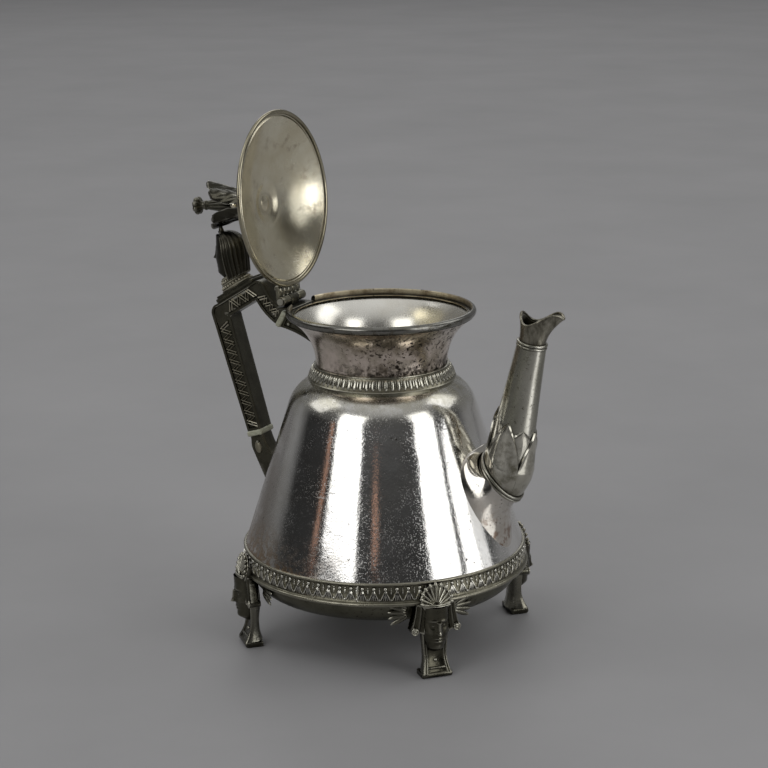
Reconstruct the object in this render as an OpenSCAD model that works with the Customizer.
// Silver coffee pot on four cast feet, with a hinged lid and a figured handle.
// Millimetres. The pot's axis is Z, the table is z = 0, the spout points to +X and the handle to -X.
// The lid is drawn open, as it stands when it leans back over the handle.

/* [Body] */
// Outer diameter of the body where it stands on the base band
base_d = 152; // [144:1:160]
// Outer diameter where the straight side ends and the shoulder begins
shoulder_d = 101.6; // [96:0.2:108]
// Height of the straight conical side
cone_h = 77.5; // [72:0.5:84]
// Radius of the rounded shoulder
shoulder_round = 22; // [19:0.5:25]
// Thickness of the silver sheet
sheet = 1.2; // [0.8:0.1:1.6]

/* [Base] */
// Height of the base band's lower edge above the table
foot_h = 39.5; // [36:0.5:45]
// Height of the base band
band_h = 12.5; // [11:0.5:14]
// How far the base band's lower edge stands out past the body
band_flare = 2.8; // [2:0.1:4]
// Width of the ledge on the base band that carries the body
band_ledge = 2.4; // [2:0.1:3.5]
// Depth of the bottom pan below the base band
pan_depth = 12; // [9:0.5:15]
// Radius of the bottom pan's corner
pan_corner = 11; // [8:0.5:14]

/* [Neck] */
// Smallest outer diameter of the neck
neck_d = 71; // [66:0.5:76]
// Height of the stamped band round the foot of the neck
neck_band_h = 7.5; // [6:0.5:9]
// Thickness of the stamped band at its top
neck_band_t = 1.1; // [0.8:0.1:2]
// Radius of the neck's flare
flare_round = 30; // [28:0.5:33]
// Outer diameter of the rim
rim_d = 102.4; // [99:0.2:106]
// Height of the rim ring
rim_h = 4.3; // [3.8:0.1:5]
// Depth of the seat inside the rim
seat_depth = 3.2; // [2.6:0.1:3.4]
// Width of the ledge that the lid rests on
ledge_w = 2.4; // [1.8:0.1:3]

/* [Lid] */
// Radial gap between the lid's edge and the rim
lid_gap = 0.8; // [0.5:0.1:1.2]
// Gap under the closed lid's edge
lid_lift = 0.3; // [0.3:0.05:0.6]
// Radial thickness of the rim outside the seat
rim_wall = 2.4; // [2.2:0.1:2.8]
// Diameter of the rolled edge of the lid
lid_edge = 3; // [2.4:0.1:3.4]
// Height of the lid's dome above the middle of its edge
dome_rise = 12.5; // [10:0.5:16]
// Diameter of the raised centre of the lid
boss_d = 22; // [18:0.5:26]
// Height of the raised centre
boss_h = 3; // [2:0.5:4]
// How far the raised centre stands from the middle of the lid, toward the hinge
boss_shift = 2; // [0:0.5:3]
// How far the lid is turned back from closed
lid_open = 95.5; // [80:0.5:96]

/* [Hinge] */
// Length of the hinge
hinge_w = 24; // [20:0.5:28]
// Length of the middle knuckle, which is fixed to the pot
middle_knuckle = 8; // [6:0.5:10]
// Outer diameter of the knuckles
knuckle_d = 5.2; // [4.6:0.1:5.6]
// Diameter of the hinge pin
pin_d = 2.4; // [2:0.1:2.8]
// Radial clearance of the pin in the lid's knuckles
pin_clearance = 0.05; // [0.02:0.01:0.1]
// Gap between neighbouring knuckles
knuckle_gap = 0.4; // [0.3:0.05:0.6]
// Distance of the hinge axis outside the rim
hinge_out = 3.5; // [3.2:0.1:5]
// Height of the hinge axis above the rim
hinge_up = 0.6; // [0.4:0.1:1.5]
// Thickness of the hinge plates
plate_t = 2; // [1.6:0.1:2.4]

/* [Finial] */
// Height of the finial above the lid's raised centre
finial_h = 41; // [34:0.5:46]
// Diameter of the fluted stem at its foot
stem_d = 9.6; // [8:0.2:11]
// Diameter of the flared knob at the top
knob_d = 10; // [8.5:0.2:11]
// Number of flutes on the stem
flute_count = 12; // [8:1:16]
// How far the leaves spread from the finial's axis
leaf_spread = 11; // [9:0.5:12]
// Width of the finial's leaves
leaf_w = 14; // [10:0.5:16]
// Diameter of the stud that holds the finial
stud_d = 4; // [3:0.2:5]

/* [Handle] */
// Distance of the grip's upper corner from the pot's axis
grip_reach = 97; // [94:0.5:102]
// Depth of the grip's upper corner below the rim
grip_drop = 9.7; // [8:0.1:14]
// Distance of the handle's peak from the pot's axis
peak_reach = 72.2; // [70:0.2:76]
// Height of the peak above the rim
peak_rise = 5.3; // [3:0.1:6.5]
// Gap between the rim and the handle's upper end
upper_gap = 7; // [6:0.1:9]
// Depth of the handle's upper end below the rim
upper_drop = 10.4; // [9.5:0.1:12]
// Gap between the body and the handle's lower end
lower_gap = 18; // [16:0.5:22]
// Height of the handle's lower end above the base band
lower_rise = 52.3; // [46:0.5:58]
// Width of the grip at its corner
grip_w = 11.2; // [9.5:0.1:12.5]
// Width of the grip at its lower end
grip_end_w = 8.4; // [7.6:0.1:9.4]
// Width of the sloping bar under the bust
bar_w = 9.4; // [8.4:0.1:10.4]
// Width of the curved arm to the neck
arm_w = 8.6; // [8:0.1:9.4]
// Radius of the curved arm
arm_bend = 33; // [28:0.5:40]
// Thickness of the handle from side to side
handle_t = 12.5; // [11:0.5:14]
// Width of the raised border of the side panels
border = 1.3; // [1:0.1:1.6]
// Depth of the side panels
panel_depth = 0.9; // [0.6:0.1:1.2]
// Length of one zig-zag of the ornament
zigzag_step = 6.4; // [5:0.2:8]
// Width of the bars of the zig-zag
zigzag_bar = 1; // [0.7:0.1:1.3]
// Thickness of the insulator plates
insulator_t = 3.2; // [2.6:0.1:4]
// How far the insulator plates stand out past the handle
insulator_proud = 0.7; // [0.4:0.1:1]
// Diameter of the insulator pegs
peg_d = 4.6; // [4:0.1:5.2]
// Length of the insulator pegs
peg_l = 7; // [6:0.5:8]
// Diameter of the cross pins
cross_pin_d = 1.4; // [1.2:0.1:1.6]
// Radial clearance of pegs and cross pins in their holes
peg_clearance = 0.04; // [0.02:0.01:0.08]

/* [Bust] */
// Height of the head above the plinth
head_h = 25.5; // [23:0.5:26.5]
// Width of the headdress
headdress_w = 17.5; // [15:0.5:19]
// Thickness of the plinth
plinth_t = 2.6; // [2:0.1:3.2]
// Length of the plinth along the sloping bar
plinth_l = 27; // [24:0.5:28]

/* [Spout] */
// Height of the spout's bend above the base band
spout_rise = 51; // [48:0.5:54]
// Distance of the spout's axis from the body at its bend
spout_stand = 14.6; // [14:0.2:16]
// Lean of the upper spout away from the pot
spout_lean = 11.6; // [8:0.2:15]
// Angle between the joint ring and the spout's axis
spout_mitre = 38; // [34:0.5:42]
// Outer radius of the spout at its bend
spout_r = 13.5; // [12.5:0.1:14]
// Outer radius of the spout at its upper ring
spout_top_r = 7.9; // [7:0.1:8.6]
// Length of the upper spout from its bend to its upper ring
spout_l = 66; // [60:0.5:72]
// Height of the pouring lip above the upper ring
lip_h = 17; // [14:0.5:20]
// Reach of the pouring lip past the spout's axis
lip_reach = 15; // [12:0.5:17]
// Height of the spout's root on the body
root_h = 52; // [48:0.5:55]
// Width of the spout's root on the body
root_w = 43; // [38:0.5:46]
// Thickness of the joint ring
joint_ring_t = 2.8; // [2.4:0.1:3.4]
// How far the joint ring stands out past the spout
ring_proud = 1; // [0.7:0.1:1.4]
// How far the beads of the upper ring stand out past the spout
bead_proud = 0.4; // [0.2:0.1:0.7]
// Number of leaves round the foot of the spout
leaf_count = 4; // [4:1:6]
// Diameter of the strainer holes behind the spout
strainer_d = 3; // [2:0.2:3.6]
// Distance between strainer holes
strainer_pitch = 6; // [5:0.2:7]

/* [Feet] */
// Outward reach of the foot pads past the body's lower edge
toe_out = 6; // [5:0.1:7]
// Angle of the feet from the pot's middle plane
foot_angle = 44; // [40:0.5:48]
// Depth of the foot pads
pad_depth = 10; // [9:0.5:12]
// Width of the foot pads
pad_w = 16.6; // [14:0.2:18]
// Width of the foot shafts
shaft_w = 14; // [12:0.5:15]
// Width of the masks
mask_w = 13.4; // [12:0.2:15]
// Number of feathers in a plume
feather_count = 7; // [5:1:9]

/* [Hidden] */
$fn = 144;

silver = "#c9c6c0";
dull_silver = "#8d897c";
bone = "#c9cdb0";
far = 400;

// Points along a round stretch about a centre
function arc(centre, r, from, to, steps = 12) =
    [for (i = [0 : steps]) let (a = from + (to - from) * i / steps) centre + r * [cos(a), sin(a)]];
// The same points in the opposite order
function reversed(points) = [for (i = [len(points) - 1 : -1 : 0]) points[i]];
// Unit vector along a line, and the one to its left
function along(v) = v / norm(v);
function left_of(v) = [-v[1], v[0]] / norm(v);
// Angle of a line from +X
function heading(v) = atan2(v[1], v[0]);
// A smooth step from 0 to 1
function ease(t) = t * t * (3 - 2 * t);
function mix(a, b, t) = a + (b - a) * t;

// Body
base_r = base_d / 2;
shoulder_r = shoulder_d / 2;
neck_r = neck_d / 2;
body_z = foot_h + band_h;
lean = atan((base_r - shoulder_r) / cone_h);
shoulder_centre = [shoulder_r, body_z + cone_h] - shoulder_round * [cos(lean), sin(lean)];
neck_z = shoulder_centre[1] + shoulder_round * sin(shoulder_end(0));
function shoulder_end(t) = acos((neck_r - t - shoulder_centre[0]) / (shoulder_round - t));
function body_r(z) = base_r - (z - body_z) * tan(lean);
// Profile of the body, set in by t from its outside
function body_profile(t) = concat(
    [[base_r - t / cos(lean), body_z]],
    arc(shoulder_centre, shoulder_round - t, lean, shoulder_end(t), 14)
);

module body_envelope() {
    rotate_extrude() polygon(concat([[0, body_z]], body_profile(0), [[0, neck_z]]));
}

module strainer_holes() {
    rings = 2;
    for (row = [-rings : rings], column = [-rings : rings])
        if (abs(row + column) <= rings)
            translate([0, (column + row / 2) * strainer_pitch, root_z + row * strainer_pitch * sin(60)])
                rotate([0, 90, 0]) cylinder(d = strainer_d, h = base_r + 1);
}

module body_shell() {
    color(silver) difference() {
        rotate_extrude() polygon(concat(
            body_profile(0), [[neck_r - sheet, neck_z]], reversed(body_profile(sheet))));
        strainer_holes();
    }
}

// Base
pan_r = base_r - band_ledge;
band_low_r = base_r + band_flare;
band_top_r = base_r + band_flare / 2;
bead_r = 0.104 * band_h;
band_profile = concat(
    [[pan_r, foot_h]],
    arc([band_low_r - bead_r, foot_h + bead_r], bead_r, -90, 60, 8),
    [[band_low_r - bead_r, foot_h + 3 * bead_r], [band_top_r - bead_r, body_z - 3 * bead_r]],
    arc([band_top_r - bead_r, body_z - bead_r], bead_r, -60, 90, 8),
    [[pan_r, body_z]]
);
pan_floor = foot_h - pan_depth;
pan_lap = 0.32 * band_h;
function pan_profile(t) = concat(
    [[0, pan_floor + t]],
    arc([pan_r - pan_corner, pan_floor + pan_corner], pan_corner - t, -90, 0, 10),
    [[pan_r - t, foot_h + pan_lap]]
);

module base_band() {
    color(dull_silver) rotate_extrude() polygon(band_profile);
}

module bottom_pan() {
    color(silver) rotate_extrude() polygon(concat(pan_profile(0), reversed(pan_profile(sheet))));
}

module base_envelope() {
    rotate_extrude() polygon(concat([[0, foot_h]], band_profile, [[0, body_z]]));
    rotate_extrude() polygon(concat(pan_profile(0), [[0, foot_h + pan_lap]]));
    body_envelope();
}

// Neck
rim_r = rim_d / 2;
flare_z = neck_z + neck_band_h;
neck_top_r = rim_r - sheet;
flare_centre = [neck_r + flare_round, flare_z];
flare_end = acos(1 - (neck_top_r - neck_r) / flare_round);
rim_z = flare_z + flare_round * sin(flare_end);
rim_top = rim_z + rim_h;
seat_r = rim_r - rim_wall;
seat_z = rim_top - seat_depth;
neck_outside = concat([[neck_r, neck_z]], arc(flare_centre, flare_round, 180, 180 - flare_end));
neck_inside = concat(
    [[neck_r - sheet, neck_z]],
    arc(flare_centre, flare_round + sheet, 180, 180 - asin((rim_z - flare_z) / (flare_round + sheet)))
);
neck_inside_top = neck_inside[len(neck_inside) - 1];
rim_bulge = arc([rim_r - rim_h / 2, rim_z + rim_h / 2], rim_h / 2, -90, 90);
ledge_t = 0.12 * rim_h;

module neck_collar() {
    color(silver) rotate_extrude() polygon(concat(neck_outside, reversed(neck_inside)));
}

module rim_ring() {
    notch_w = hinge_w + 2 * lid_gap;
    color(silver) difference() {
        rotate_extrude() polygon(concat(
            [neck_inside_top], rim_bulge,
            [[seat_r, rim_top], [seat_r, seat_z]],
            [[seat_r - ledge_w, seat_z], [seat_r - ledge_w, seat_z - ledge_t]]));
        translate([-rim_r - far / 2, -notch_w / 2, seat_z]) cube([far / 2 + ledge_w * 4, notch_w, rim_h]);
    }
}

module neck_envelope() {
    rotate_extrude() polygon(concat([[0, neck_z]], neck_outside, rim_bulge, [[0, rim_top]]));
}

// The stamped band covers the shoulder down to an angle above the horizontal; its edges are thin
module neck_band() {
    cover = 64;
    edge = 0.2 * neck_band_h;
    foot = shoulder_centre + (shoulder_round + neck_band_t) * [cos(cover), sin(cover)];
    root = shoulder_centre + (shoulder_round - sheet) * [cos(cover), sin(cover)];
    color(dull_silver) difference() {
        rotate_extrude() polygon([
            root, foot, foot + [0, edge], [neck_r + 2 * neck_band_t, flare_z - edge],
            [neck_r + neck_band_t, flare_z], [neck_r, flare_z], [neck_r, neck_z]]);
        body_envelope();
    }
}

// Hinge and lid, drawn closed and then turned back
lid_r = seat_r - lid_gap;
lid_z = seat_z + lid_lift + lid_edge / 2;
hinge_x = -rim_r - hinge_out;
hinge_z = rim_top + hinge_up;
knuckle_r = knuckle_d / 2;
dome_r = lid_r - lid_edge / 2;
dome_ball = (dome_r * dome_r + dome_rise * dome_rise) / (2 * dome_rise);
dome_centre = [0, lid_z + dome_rise - dome_ball];
boss_r = boss_d / 2;
boss_top = lid_z + dome_rise + boss_h;
// Profile of the lid's dome, set in by t from its outside
function dome_profile(t) = concat(
    arc(dome_centre, dome_ball - t, acos(dome_r / dome_ball), 90, 16), [[0, lid_z]]);
boss_round = boss_h / 2;
boss_profile = concat(
    [[boss_r - sheet, lid_z], [boss_r, lid_z]],
    arc([boss_r - boss_round, boss_top - boss_round], boss_round, 0, 90, 5),
    [[stud_d / 2, boss_top], [stud_d / 2, boss_top - sheet], [boss_r - sheet, boss_top - sheet]]
);

module turned_back() {
    translate([hinge_x, 0, hinge_z]) rotate([0, -lid_open, 0])
        translate([-hinge_x, 0, -hinge_z]) children();
}

module knuckles(from, to) {
    translate([hinge_x, from, hinge_z]) rotate([-90, 0, 0]) cylinder(d = knuckle_d, h = to - from);
}

module pin_hole(clearance) {
    translate([hinge_x, 0, hinge_z]) rotate([90, 0, 0])
        cylinder(d = pin_d + 2 * clearance, h = 2 * hinge_w, center = true);
}

// Moves the finial's axis to the raised centre of the turned lid
module on_boss() {
    turned_back() translate([-boss_shift, 0, 0]) children();
}

module lid_solid() {
    rotate_extrude() translate([dome_r, lid_z]) circle(d = lid_edge);
    difference() {
        union() {
            difference() {
                rotate_extrude() polygon(dome_profile(0));
                translate([-boss_shift, 0, lid_z]) cylinder(r = boss_r - sheet / 2, h = 2 * dome_rise);
            }
            translate([-boss_shift, 0, 0]) rotate_extrude() polygon(boss_profile);
        }
        rotate_extrude() polygon(dome_profile(sheet));
    }
}

module lid_dome() {
    color(silver) turned_back() lid_solid();
}

module lid_hinge_leaf() {
    reach = lid_edge * 1.5;
    color(dull_silver) turned_back() difference() {
        union() {
            for (side = [0, 1]) mirror([0, side, 0])
                knuckles(middle_knuckle / 2 + knuckle_gap, hinge_w / 2);
            translate([hinge_x, -hinge_w / 2, hinge_z + knuckle_r - plate_t])
                cube([-hinge_x - lid_r + reach, hinge_w, plate_t]);
        }
        pin_hole(pin_clearance);
        translate([hinge_x, 0, hinge_z]) rotate([90, 0, 0])
            cylinder(r = knuckle_r + knuckle_gap, h = middle_knuckle + 2 * knuckle_gap, center = true);
        lid_solid();
        translate([0, 0, lid_z - lid_edge]) cylinder(r = dome_r, h = 2 * knuckle_d + lid_edge);
    }
}

// The bracket's shelf lies under the lid's knuckles with a gap
module hinge_bracket() {
    floor_z = rim_z + 0.14 * rim_h;
    shelf = hinge_z - knuckle_r - 1.25 * knuckle_gap;
    color(dull_silver) difference() {
        union() {
            knuckles(-middle_knuckle / 2, middle_knuckle / 2);
            translate([hinge_x - knuckle_r, -middle_knuckle / 2, floor_z])
                cube([knuckle_d, middle_knuckle, hinge_z - floor_z]);
            translate([hinge_x - knuckle_r, -hinge_w / 2, floor_z])
                cube([-hinge_x + knuckle_r - neck_r, hinge_w, shelf - floor_z]);
        }
        pin_hole(0);
        neck_envelope();
    }
}

module hinge_pin() {
    head = pin_d / 3;
    play = knuckle_gap / 4;
    color(silver) translate([hinge_x, 0, hinge_z]) rotate([90, 0, 0]) {
        cylinder(d = pin_d, h = hinge_w + 2 * (play + head), center = true);
        for (side = [0, 1]) mirror([0, 0, side])
            translate([0, 0, hinge_w / 2 + play]) cylinder(d = 1.5 * pin_d, h = head);
    }
}

// Finial: a foot plate, a waist, a fluted taper and a collar under the knob
stem_foot = boss_top;
stem_top = stem_foot + 0.78 * finial_h;
stem_r = stem_d / 2;
stem_neck_r = 0.33 * knob_d;
stem_mid = stem_foot + 0.36 * finial_h;
foot_plate_r = 1.46 * stem_r;
foot_plate_t = 0.25 * stem_r;
collar_t = 0.3 * stem_r;
flute_d = 0.31 * stem_r;

module finial_stem() {
    hollow = 0.62 * stem_r;
    nut_room = 0.5 * stud_d;
    taper = atan((stem_r - stem_neck_r) / (stem_top - stem_mid));
    color(dull_silver) on_boss() {
        difference() {
            rotate_extrude() polygon(concat(
                [[0, stem_foot], [foot_plate_r, stem_foot], [foot_plate_r, stem_foot + foot_plate_t]],
                arc([foot_plate_r, stem_foot + foot_plate_t + hollow], hollow, 270, 180, 6),
                [[0.8 * stem_r, stem_mid - stem_r / 2], [stem_r, stem_mid]],
                [[stem_neck_r, stem_top - collar_t]],
                [[stem_neck_r + 0.6 * collar_t, stem_top - 0.8 * collar_t]],
                [[stem_neck_r + 0.6 * collar_t, stem_top], [0, stem_top]]));
            for (i = [0 : flute_count - 1]) rotate(i * 360 / flute_count)
                translate([stem_r + 0.2 * flute_d, 0, stem_mid]) rotate([0, -taper, 0])
                    cylinder(d = flute_d, h = stem_top - stem_mid - 1.7 * collar_t);
        }
        translate([0, 0, stem_foot - sheet - nut_room])
            cylinder(d = stud_d, h = sheet + nut_room + foot_plate_t);
        for (side = [-1, 1]) translate([0, side * 1.12 * stem_r, stem_mid - 0.42 * stem_r])
            sphere(d = 0.96 * stem_r);
    }
}

// One finial leaf: a flaring shell about the finial's axis, cut to a pointed outline with lobed sides
leaf_root = 0.16;
leaf_tip = 0.74;
leaf_t = 0.1 * leaf_w;
function leaf_bend(t, out) = [
    mix(0.8 * stem_r, leaf_spread, 0.75 * t + 0.25 * t * t) + out,
    stem_foot + mix(leaf_root, leaf_tip, t) * finial_h];
function leaf_half_at(t) = (0.92 + 0.08 * abs(sin(540 * t)))
    * min(0.72 * leaf_bend(t, 0)[0], leaf_w / 2 * (0.22 + 0.78 * sin(180 * pow(t, 0.85))));

module finial_leaf() {
    steps = 12;
    shares = [for (i = [0 : steps]) i / steps];
    intersection() {
        rotate_extrude() polygon(concat(
            [for (t = shares) leaf_bend(t, leaf_t)], reversed([for (t = shares) leaf_bend(t, 0)])));
        rotate([90, 0, 90]) linear_extrude(height = 2 * leaf_spread) polygon(concat(
            [for (t = shares) [-leaf_half_at(t), leaf_bend(t, 0)[1]]],
            reversed([for (t = shares) [leaf_half_at(t), leaf_bend(t, 0)[1]]])));
    }
}

module finial_leaves() {
    color(dull_silver) on_boss() difference() {
        for (side = [0, 180]) rotate(side) finial_leaf();
        translate([0, 0, stem_foot]) cylinder(d = stem_d, h = finial_h);
    }
}

// The knob is a hollowed waist under a rounded brim, with a dished top
module finial_knob() {
    knob_r = knob_d / 2;
    waist = 0.68 * knob_r;
    brim = 0.32 * knob_r;
    brim_z = stem_top + 1.32 * knob_r;
    color(dull_silver) on_boss() rotate_extrude() polygon(concat(
        [[0, stem_top], [stem_neck_r, stem_top]],
        arc([stem_neck_r + waist, stem_top + 0.52 * knob_r], waist, 200, 130, 5),
        arc([knob_r - brim, brim_z], brim, -20, 90, 6),
        [[knob_r - 1.5 * brim, brim_z + brim / 2], [0, brim_z + brim / 4]]));
}

module finial_nut() {
    nut_r = 1.1 * stud_d;
    nut_t = 0.6 * stud_d;
    edge = 0.45 * stud_d;
    top = boss_top - sheet;
    color(silver) on_boss() rotate_extrude() polygon(concat(
        [[stud_d / 2, top], [nut_r, top]],
        arc([nut_r - edge, top - nut_t + edge], edge, 0, -90, 5), [[stud_d / 2, top - nut_t]]));
}

// Handle: a polyline of three stretches in the XZ plane
grip_corner = [-grip_reach, rim_top - grip_drop];
peak = [-peak_reach, rim_top + peak_rise];
upper_end = [-rim_r - upper_gap, rim_top - upper_drop];
lower_end = [-body_r(body_z + lower_rise) - lower_gap, body_z + lower_rise];
grip_dir = along(grip_corner - lower_end);
bar_dir = along(peak - grip_corner);
// Centre of the curved arm, which lies above it
arm_chord = upper_end - peak;
arm_centre = (peak + upper_end) / 2
    + left_of(arm_chord) * sqrt(arm_bend * arm_bend - norm(arm_chord) * norm(arm_chord) / 4);
arm_from = heading(peak - arm_centre);
arm_to = heading(upper_end - arm_centre);
arm_dir = left_of(upper_end - arm_centre);

// Draws a flat shape of the XZ plane as thick as the handle, or between two depths
module standing(from, to) {
    translate([0, to, 0]) rotate([90, 0, 0]) linear_extrude(height = to - from) children();
}

module strip(a, b, wa, wb) {
    n = left_of(b - a);
    polygon([a + n * wa / 2, b + n * wb / 2, b - n * wb / 2, a - n * wa / 2]);
}

// Outline of the three stretches, set in by t
module handle_outline(t) {
    strip(lower_end + grip_dir * t, grip_corner, grip_end_w - 2 * t, grip_w - 2 * t);
    translate(grip_corner) circle(d = grip_w - 2 * t);
    strip(grip_corner, peak, bar_w - 2 * t, bar_w - 2 * t);
    translate(peak) circle(d = arm_w - 2 * t);
    polygon(concat(
        arc(arm_centre, arm_bend + arm_w / 2 - t, arm_from, arm_to - t * 1.8, 12),
        reversed(arc(arm_centre, arm_bend - arm_w / 2 + t, arm_from, arm_to - t * 1.8, 12))));
}

// A zig-zag of thin bars along a straight line
module zigzag(a, b, w) {
    steps = max(1, floor(norm(b - a) / zigzag_step)) * 2;
    n = left_of(b - a) * (w / 2 - zigzag_bar / 2);
    knees = [for (i = [0 : steps]) mix(a, b, i / steps) + (i % 2 == 0 ? -n : n)];
    for (i = [0 : steps - 1]) strip(knees[i], knees[i + 1], zigzag_bar, zigzag_bar);
    for (p = knees) translate(p) circle(d = zigzag_bar);
}

module handle_ornament() {
    field = 2.5 * border;
    end_gap = grip_w / 4;
    corner_gap = 0.6 * grip_w;
    zigzag(lower_end + grip_dir * end_gap, grip_corner - grip_dir * corner_gap,
        min(grip_w, grip_end_w) - field);
    zigzag(grip_corner + bar_dir * corner_gap, peak - bar_dir * end_gap, bar_w - field);
    zigzag(mix(peak, upper_end, 0.16), mix(peak, upper_end, 0.8), arm_w - 4 * border);
}

module peg_at(end, dir, clearance) {
    translate([end[0], 0, end[1]]) rotate([0, 90 - heading(dir), 0])
        cylinder(d = peg_d + 2 * clearance, h = 2 * (peg_l + insulator_t / 2 + clearance), center = true);
}

module cross_pin_holes(clearance, length) {
    reach = insulator_t / 2 + peg_l / 2;
    for (p = [
        upper_end - arm_dir * reach, upper_end + arm_dir * reach,
        lower_end + grip_dir * reach, lower_end - grip_dir * reach])
        translate([p[0], 0, p[1]]) rotate([90, 0, 0])
            cylinder(d = cross_pin_d + 2 * clearance, h = length, center = true);
}

module plate_gap(end, dir) {
    translate([end[0], 0, end[1]]) rotate([0, -heading(dir), 0])
        cube([insulator_t, far / 4, far / 8], center = true);
}

module handle_frame() {
    sunk = 0.2 * panel_depth;
    color(dull_silver) difference() {
        union() {
            difference() {
                standing(-handle_t / 2, handle_t / 2) handle_outline(0);
                standing(handle_t / 2 - panel_depth, handle_t) handle_outline(border);
                standing(-handle_t, panel_depth - handle_t / 2) handle_outline(border);
            }
            standing(handle_t / 2 - panel_depth, handle_t / 2 - sunk) handle_ornament();
            standing(sunk - handle_t / 2, panel_depth - handle_t / 2) handle_ornament();
        }
        plate_gap(upper_end, arm_dir);
        plate_gap(lower_end, grip_dir);
        peg_at(upper_end, arm_dir, peg_clearance);
        peg_at(lower_end, grip_dir, peg_clearance);
        cross_pin_holes(peg_clearance, 2 * handle_t);
    }
}

module insulator(end, dir, w) {
    translate([end[0], 0, end[1]]) rotate([0, -heading(dir), 0])
        cube([insulator_t, handle_t + 2 * insulator_proud, w + 2 * insulator_proud], center = true);
    peg_at(end, dir, 0);
}

module upper_insulator() {
    color(bone) difference() {
        insulator(upper_end, arm_dir, arm_w);
        cross_pin_holes(peg_clearance, 2 * handle_t);
    }
}

module lower_insulator() {
    color(bone) difference() {
        insulator(lower_end, grip_dir, grip_end_w);
        cross_pin_holes(peg_clearance, 2 * handle_t);
    }
}

module insulator_pins() {
    color(silver) cross_pin_holes(0, handle_t);
}

// Socket arms from the insulators to the pot, a little thinner than the handle
socket_inset = 0.05 * handle_t;

module upper_socket() {
    half_t = handle_t / 2 - socket_inset;
    start = upper_end + arm_dir * insulator_t / 2;
    n = left_of(arm_dir) * arm_w / 2;
    ceiling = rim_z - 2 * sheet;
    root_low = [-neck_r + 3 * sheet, flare_z + 2 * sheet];
    root_high = [-neck_r, ceiling];
    sag = 0.3 * arm_w;
    bend = (start - n + root_low) / 2 + [sag, 1.4 * sag];
    color(dull_silver) difference() {
        standing(-half_t, half_t) polygon(concat(
            [start + n, start - n],
            [for (i = [1 : 6]) let (t = i / 6) mix(mix(start - n, bend, t), mix(bend, root_low, t), t)],
            [root_high, [start[0] + n[0], min(start[1] + n[1], ceiling)]]));
        neck_envelope();
        peg_at(upper_end, arm_dir, peg_clearance);
        cross_pin_holes(peg_clearance, 2 * handle_t);
    }
}

// The lower socket is a leaf that bends onto the body and tapers to a point
module lower_socket() {
    half_t = handle_t / 2 - 1.3 * socket_inset;
    start = lower_end - grip_dir * insulator_t / 2;
    n = left_of(grip_dir) * (grip_end_w / 2 - socket_inset);
    drop = 4 * grip_end_w;
    neck_drop = 1.55 * grip_end_w;
    shoulder_drop = 0.83 * grip_end_w;
    sink = 3 * sheet;
    tip = [-body_r(start[1] - drop) + sink, start[1] - drop];
    tip_half = 0.3 * half_t;
    root_high = [-body_r(start[1] - neck_drop) + sink, start[1] - neck_drop];
    inner = start - n;
    bend = inner - grip_dir * 1.3 * grip_end_w;
    color(dull_silver) difference() {
        intersection() {
            standing(-half_t, half_t) polygon(concat(
                [start + n, start + n - [0, shoulder_drop], tip],
                [for (i = [0 : 6]) let (t = i / 6) mix(mix(root_high, bend, t), mix(bend, inner, t), t)]));
            rotate([90, 0, 90]) translate([0, 0, -far]) linear_extrude(height = far) polygon([
                [-half_t, start[1] + shoulder_drop], [half_t, start[1] + shoulder_drop],
                [half_t, start[1] - shoulder_drop], [tip_half, tip[1]],
                [-tip_half, tip[1]], [-half_t, start[1] - shoulder_drop]]);
        }
        body_envelope();
        peg_at(lower_end, grip_dir, peg_clearance);
        cross_pin_holes(peg_clearance, 2 * handle_t);
    }
}

// Bust: a head in a headdress, on a plinth that follows the sloping bar
bar_top = mix(grip_corner, peak, 0.52) + left_of(bar_dir) * bar_w / 2;
chest_h = 0.275 * head_h;
neck_base = bar_top + left_of(bar_dir) * (plinth_t + 0.86 * chest_h);
crown_r = headdress_w / 2;
face_r = 0.22 * head_h;
face_x = neck_base[0] - 0.82 * face_r;
chin_z = neck_base[1] + 0.05 * head_h;
top_z = chin_z + head_h;

module handle_bust() {
    plinth_side = handle_t / 2 + 0.14 * face_r;
    chest_r = 0.374 * plinth_l;
    collar_r = 0.22 * crown_r;
    color(dull_silver) difference() {
        union() {
            translate([bar_top[0], 0, bar_top[1]]) rotate([0, -heading(bar_dir), 0]) {
                translate([-plinth_l / 2, -plinth_side, 0]) cube([plinth_l, 2 * plinth_side, plinth_t]);
                translate([0, 0, plinth_t]) intersection() {
                    cylinder(r1 = chest_r, r2 = 0.6 * chest_r, h = chest_h);
                    cube([plinth_l, 2 * plinth_side, 3 * chest_h], center = true);
                }
            }
            translate([neck_base[0] + 0.34 * crown_r, 0, neck_base[1] + collar_r / 2])
                rotate([0, -heading(bar_dir) * 0.8, 0])
                    rotate_extrude() translate([crown_r - collar_r, 0]) circle(r = collar_r);
            translate([neck_base[0], 0, chin_z - 1.1 * chest_h])
                cylinder(r = 0.82 * face_r, h = 1.7 * chest_h);
            bust_face();
            bust_headdress();
        }
        standing(-handle_t, handle_t) handle_outline(0);
    }
}

// A plain egg with a nose
module bust_face() {
    chin_r = 0.75 * face_r;
    eyes_z = chin_z + 0.51 * head_h;
    translate([face_x, 0, 0]) rotate_extrude() polygon(concat(
        [[0, chin_z]],
        arc([0, chin_z + chin_r], chin_r, -70, -15, 4),
        arc([0, eyes_z], face_r, -10, 90, 8)));
    translate([face_x - 0.93 * face_r, 0, chin_z + 0.29 * head_h]) rotate([0, 14, 0])
        cylinder(r1 = 0.23 * face_r, r2 = 0.11 * face_r, h = 0.2 * head_h);
}

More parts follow.
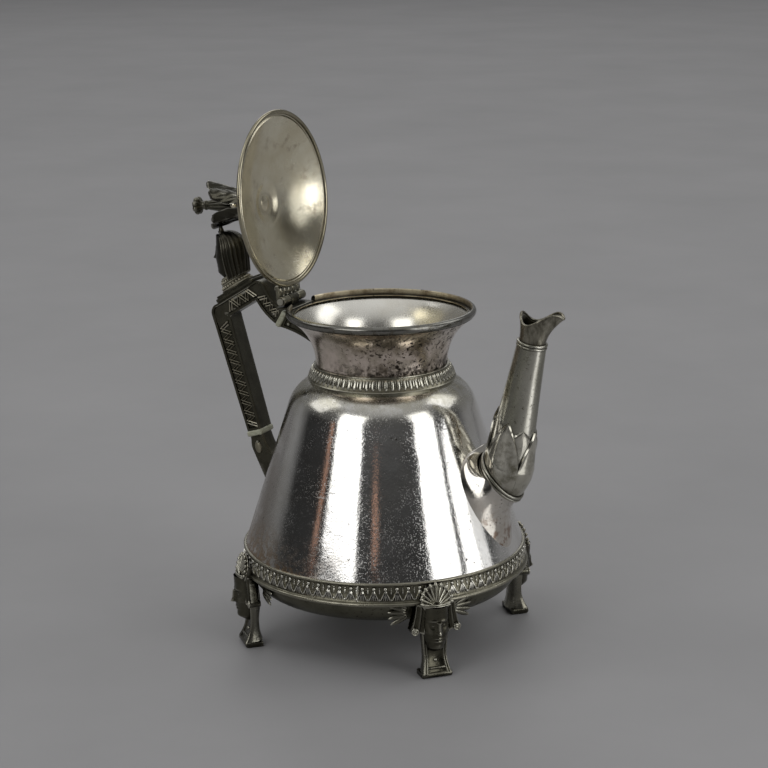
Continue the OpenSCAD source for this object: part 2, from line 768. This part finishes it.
// A cap that falls straight to the shoulders, cut away before the face, with an ornament at the forehead
module bust_headdress() {
    fall_z = chin_z - 0.08 * head_h;
    bud_h = 0.235 * head_h;
    difference() {
        translate([neck_base[0], 0, 0]) rotate_extrude() polygon(concat(
            [[0, fall_z], [crown_r, fall_z], [crown_r, top_z - crown_r]],
            arc([0, top_z - crown_r], crown_r, 0, 90, 10)));
        translate([face_x + 0.25 * face_r, 0, chin_z + 0.35 * head_h]) rotate([0, -20, 0])
            translate([-far / 2, 0, -0.12 * head_h]) cube([far, far, 1.33 * head_h], center = true);
    }
    translate([face_x - 0.46 * face_r, 0, top_z - 0.25 * head_h]) rotate([0, -6, 0]) {
        cylinder(r = 0.25 * face_r, h = bud_h);
        translate([0, 0, bud_h]) sphere(r = 0.3 * face_r);
    }
}

// Spout: a straight tapering tube on a leaning axis, mitred onto an elbow
spout_z = body_z + spout_rise;
spout_x = body_r(spout_z) + spout_stand;
root_z = spout_z - 0.385 * root_h;
mitre_s = -0.563 * spout_r;
// Outer radius of the upper spout at s along its axis, swelling to its bend
function spout_out(s) = s > 0
    ? mix(spout_r, spout_top_r, pow(s / spout_l, 0.72))
    : spout_r - s * s / (6 * spout_r);
function spout_profile(t, low, high, steps) =
    [for (i = [0 : steps]) let (s = mix(low, high, i / steps)) [spout_out(s) + t, s]];

module on_spout() {
    translate([spout_x, 0, spout_z]) rotate([0, spout_lean, 0]) children();
}

// Half space below the mitre plane, raised by h along the plane's normal
module below_mitre(h) {
    translate([0, 0, mitre_s]) rotate([0, spout_mitre, 0])
        translate([-far / 2, -far / 2, h - far]) cube([far, far, far]);
}

// Slab parallel to the mitre plane, from h upwards
module mitre_slab(h, thick) {
    translate([0, 0, mitre_s]) rotate([0, spout_mitre, 0])
        translate([-far / 2, -far / 2, h]) cube([far, far, thick]);
}

module spout_sleeve(inner, outer, low, high) {
    rotate_extrude() polygon(concat(
        spout_profile(outer, low, high, 20), reversed(spout_profile(inner, low, high, 20))));
}

module spout_tube() {
    color(silver) on_spout() difference() {
        spout_sleeve(-sheet, 0, -spout_r * 1.6, spout_l);
        below_mitre(0);
    }
}

module spout_joint_ring() {
    groove = joint_ring_t / 4;
    low = -spout_r * 2;
    color(silver) difference() {
        on_spout() difference() {
            spout_sleeve(-sheet, ring_proud, low, spout_r);
            below_mitre(-joint_ring_t);
            mitre_slab(0, far);
            intersection() {
                spout_sleeve(ring_proud * 0.4, ring_proud * 2, low, spout_r);
                mitre_slab(-(joint_ring_t + groove) / 2, groove);
            }
        }
        body_envelope();
    }
}

// A pointed leaf outline that stands on the mitre, with its sides parallel up to the height split
module leaf_outline(w, split, h) {
    steps = 8;
    side = [for (i = [0 : steps]) let (t = i / steps) [w / 2 * (1 - pow(t, 1.7)), mix(split, h, t)]];
    polygon(concat(
        [[-w / 2, -spout_r * 2], [w / 2, -spout_r * 2]], side,
        [for (i = [steps - 1 : -1 : 0]) [-side[i][0], side[i][1]]]));
}

module leaf_row(thick, split, h, turn) {
    w = 2 * spout_r * sin(180 / leaf_count);
    intersection() {
        spout_sleeve(0, thick, -spout_r * 2, spout_l * 0.6);
        for (i = [0 : leaf_count - 1]) rotate(turn + i * 360 / leaf_count)
            rotate([90, 0, 90]) linear_extrude(height = spout_r * 2) leaf_outline(w, split, h);
    }
}

module spout_calyx() {
    front_t = 0.75 * sheet;
    color(silver) on_spout() difference() {
        union() {
            leaf_row(front_t, spout_l * 0.1, spout_l * 0.36, 0);
            leaf_row(front_t / 2, spout_l * 0.16, spout_l * 0.38, 180 / leaf_count);
        }
        below_mitre(0);
    }
}

// Two beads under the lip
lip_bead = 0.2 * spout_top_r;
lip_s = spout_l + 2 * lip_bead;

module spout_lip_ring() {
    bead_x = spout_top_r + bead_proud - lip_bead / 2;
    color(silver) on_spout() rotate_extrude() polygon(concat(
        [[spout_top_r - sheet, spout_l], [spout_top_r, spout_l]],
        arc([bead_x, spout_l + lip_bead / 2], lip_bead / 2, -90, 90, 6),
        arc([bead_x, spout_l + 1.5 * lip_bead], lip_bead / 2, -90, 90, 6),
        [[spout_top_r - sheet, lip_s]]));
}

// A closed tube from rings of points, all with the same count
module skin(rings) {
    n = len(rings[0]);
    k = len(rings);
    polyhedron([for (ring = rings) each ring], concat(
        [[for (j = [0 : n - 1]) j]],
        [for (i = [0 : k - 2], j = [0 : n - 1]) let (a = i * n + j, b = i * n + (j + 1) % n) each [
            [a, a + n, b + n], [a, b + n, b]]],
        [[for (j = [n - 1 : -1 : 0]) (k - 1) * n + j]]));
}

// Edge of the pouring lip: a channel in front, high behind, low at the sides
lip_back = 1.18 * spout_top_r;
lip_side = 1.1 * spout_top_r;
lip_foot = 0.9 * spout_top_r;
function lip_edge(a, t) = [
    mix(-lip_back, lip_reach, (1 + cos(a)) / 2) - t * cos(a),
    (lip_side - t) * sin(a) * (1 - 0.35 * pow(max(0, cos(a)), 2)),
    lip_s + lip_h * (0.8 + 0.21 * cos(a) + 0.08 * cos(2 * a) - 0.125 * cos(3 * a))
];
// Point of the lip at height share u, set in by t
function lip_point(a, u, t) = let (
        neck = [(lip_foot - t) * cos(a), (lip_foot - t) * sin(a), lip_s],
        edge = lip_edge(a, t)
    ) [mix(neck[0], edge[0], pow(u, 1.8)), mix(neck[1], edge[1], pow(u, 1.4)), mix(neck[2], edge[2], u)];

module spout_lip() {
    color(silver) on_spout() lip_wall();
}

// The lip's wall is one skin that goes up outside, over the edge and down inside
module lip_wall() {
    steps = 8;
    sides = 36;
    angles = [for (j = [0 : sides - 1]) 360 * j / sides];
    outside = [for (i = [0 : steps]) [for (a = angles) lip_point(a, i / steps, 0)]];
    inside = [for (i = [steps : -1 : 0]) [for (a = angles) lip_point(a, i / steps, sheet)]];
    rings = concat(outside, inside);
    n = sides;
    k = len(rings);
    polyhedron([for (ring = rings) each ring],
        [for (i = [0 : k - 1], j = [0 : n - 1]) let (
                a = i * n + j, b = i * n + (j + 1) % n,
                c = ((i + 1) % k) * n + j, d = ((i + 1) % k) * n + (j + 1) % n) each [
            [a, c, d], [a, d, b]]]);
}

// Where the spout's surface, set out by t, meets the mitre plane lowered by h, at angle a
function mitre_s_at(a, t, h, s, left) = left == 0 ? s : mitre_s_at(a, t, h,
    mitre_s - h / cos(spout_mitre) - (spout_out(s) + t) * cos(a) * tan(spout_mitre), left - 1);
function mitre_point(a, t, h) = let (s = mitre_s_at(a, t, h, mitre_s, 12)) [
    (spout_out(s) + t) * cos(a), (spout_out(s) + t) * sin(a), s];
function from_spout(p) = [
    spout_x + p[0] * cos(spout_lean) + p[2] * sin(spout_lean), p[1],
    spout_z - p[0] * sin(spout_lean) + p[2] * cos(spout_lean)];
// Egg-shaped root of the elbow on the body, narrow end down, set in by t
root_sink = sheet / 8;
root_egg = 0.28;
function root_point(a, t) = let (
        z = root_z - cos(a) * (root_h / 2 - t),
        broad = pow(abs(sin(a)), cos(a) < 0 ? 0.62 : 1),
        y = sign(sin(a)) * broad * (root_w / 2 - t) * (1 - root_egg * cos(a)) * 0.96,
        r = body_r(z) - root_sink
    ) [sqrt(r * r - y * y), y, z];
mitre_normal = [sin(spout_lean + spout_mitre), 0, cos(spout_lean + spout_mitre)];
wall_up = [-sin(lean), 0, cos(lean)];
wall_out = [cos(lean), 0, sin(lean)];
// Point on the elbow: leaves the wall in a soft curve and meets the joint ring square to it
function elbow_point(a, u, t) = let (
        p0 = root_point(a, 3 * t),
        p1 = from_spout(mitre_point(a, -t, joint_ring_t)),
        pull = norm(p1 - p0),
        low = (1 + cos(a)) / 2,
        t0 = mix(wall_out * pull, (p1 - p0) * 0.8 + wall_up * pull * 0.35, pow(low, 0.7)),
        t1 = mitre_normal * pull * mix(0.7, 1.1, low),
        h1 = ease(u), u2 = u * u, u3 = u2 * u
    ) p0 * (1 - h1) + p1 * h1 + t0 * (u3 - 2 * u2 + u) + t1 * (u3 - u2);

// The elbow's skin, set in by t, with a straight root inside the body and a straight end of length past
module elbow_skin(t, past) {
    steps = 10;
    sides = 32;
    angles = [for (j = [0 : sides - 1]) 360 * j / sides];
    skin(concat(
        [[for (a = angles) let (p = root_point(a, 3 * t)) [shoulder_r / 2, p[1], p[2]]]],
        [for (i = [0 : steps]) [for (a = angles) elbow_point(a, i / steps, t)]],
        past > 0 ? [[for (a = angles) elbow_point(a, 1, t) + mitre_normal * past]] : []));
}

module spout_elbow() {
    color(silver) difference() {
        elbow_skin(0, 0);
        elbow_skin(sheet, 1);
        body_envelope();
    }
}

// Feet, drawn with the radius along X and then turned into place
toe_r = base_r + toe_out;
ankle_z = 0.36 * foot_h;
brow_z = 1.025 * foot_h;
pad_t = 0.3 * pad_depth;
toe_round = 0.16 * pad_depth;
mask_r = mask_w / 2;

// A fan with a scalloped edge, in the YZ plane
module fan(centre, r, from, to, count, depth, thick) {
    steps = 6;
    scallop = 0.12 * r;
    translate([depth, 0, 0]) rotate([90, 0, 90]) linear_extrude(height = thick) polygon(concat(
        [centre],
        [for (i = [0 : count * steps]) let (
                a = mix(from, to, i / (count * steps)),
                edge = r - scallop * (1 - sin(180 * (i % steps) / steps)))
            centre + edge * [cos(a), sin(a)]]));
}

// The shaft is hollowed in front and behind over the ankle, and stands on a pad with a rolled toe
module foot_shaft() {
    shin_round = 0.228 * foot_h;
    calf_round = 0.405 * foot_h;
    waist_x = toe_r - 0.4 * pad_depth;
    back_x = toe_r - pad_depth;
    root_x = base_r - 0.3 * pad_depth;
    root_top = body_z - 0.32 * band_h;
    standing(-shaft_w / 2, shaft_w / 2) polygon(concat(
        [[back_x, 0], [toe_r - toe_round, 0]],
        arc([waist_x + shin_round, ankle_z], shin_round, 232, 150, 8),
        [[toe_r - toe_round, foot_h * 0.74], [toe_r + 0.06 * pad_depth, brow_z]],
        [[toe_r - 0.14 * pad_depth, root_top], [root_x, root_top], [root_x, foot_h * 0.85]],
        arc([back_x + 0.06 * pad_depth - calf_round, ankle_z], calf_round, 26, -12, 8)));
    translate([back_x, -pad_w / 2, 0]) cube([pad_depth - toe_round, pad_w, pad_t]);
    translate([toe_r - toe_round, 0, toe_round]) rotate([90, 0, 0])
        cylinder(r = toe_round, h = pad_w, center = true);
    translate([toe_r - 2 * toe_round, -pad_w / 2, 0]) cube([toe_round, pad_w, 2 * toe_round]);
}

// A plain egg-shaped mask with a nose, under a rounded brow band
module foot_mask() {
    jaw_z = 0.4 * foot_h;
    jaw_r = 0.62 * mask_r;
    band_r = mask_r / 4;
    translate([toe_r - 0.63 * mask_r, 0, 0]) rotate_extrude() polygon(concat(
        [[0, jaw_z]], arc([0, jaw_z + jaw_r], jaw_r, -80, -10, 5),
        arc([0, brow_z - mask_r * 1.5], mask_r, -5, 60, 6), [[mask_r * 0.45, brow_z], [0, brow_z]]));
    translate([toe_r + 0.16 * mask_r, 0, brow_z - 0.3 * foot_h]) rotate([0, 14, 0])
        cylinder(r1 = mask_r / 4, r2 = mask_r / 8, h = 0.18 * foot_h);
    translate([toe_r + 0.06 * pad_depth, 0, brow_z]) rotate([90, 0, 0])
        cylinder(r = band_r, h = 1.45 * mask_w, center = true);
}

// A plume over the brow, lappets that end in scrolls, and a wing on each side under the base band
module foot_headdress() {
    scroll = [1.73 * mask_r, 0.67 * foot_h];
    scroll_r = 0.46 * mask_r;
    lappet_x = toe_r - 0.9 * pad_depth;
    translate([toe_r, 0, brow_z]) rotate([0, -12, 0])
        fan([0, -scroll_r], 1.06 * band_h, 42, 138, feather_count, -0.6 * pad_depth, 0.62 * pad_depth);
    for (side = [0, 1]) mirror([0, side, 0]) {
        translate([lappet_x, 0, 0]) rotate([90, 0, 90]) linear_extrude(height = 0.84 * pad_depth)
            polygon([
                [0.9 * mask_r, brow_z], [1.45 * mask_r, brow_z],
                scroll + [scroll_r, 0], scroll - [0.6, 0.3] * mask_r]);
        translate([lappet_x, scroll[0], scroll[1]]) rotate([0, 90, 0])
            cylinder(r = scroll_r, h = 0.92 * pad_depth);
        rotate(13) fan([-1.2 * mask_r, 0.87 * foot_h], 2.4 * mask_r, -24, 30, 4,
            base_r - 0.36 * pad_depth, 0.26 * pad_depth);
    }
}

module foot(turn) {
    color(dull_silver) rotate(turn) difference() {
        union() {
            foot_shaft();
            foot_mask();
            foot_headdress();
        }
        rotate(-turn) base_envelope();
    }
}

module foot_front_right() { foot(-foot_angle); }
module foot_front_left() { foot(foot_angle); }
module foot_rear_right() { foot(foot_angle - 180); }
module foot_rear_left() { foot(180 - foot_angle); }

body_shell();
bottom_pan();
base_band();
neck_collar();
neck_band();
rim_ring();
foot_front_right();
foot_front_left();
foot_rear_right();
foot_rear_left();
spout_elbow();
spout_joint_ring();
spout_tube();
spout_calyx();
spout_lip_ring();
spout_lip();
handle_frame();
handle_bust();
upper_socket();
lower_socket();
upper_insulator();
lower_insulator();
insulator_pins();
hinge_bracket();
hinge_pin();
lid_hinge_leaf();
lid_dome();
finial_stem();
finial_leaves();
finial_knob();
finial_nut();
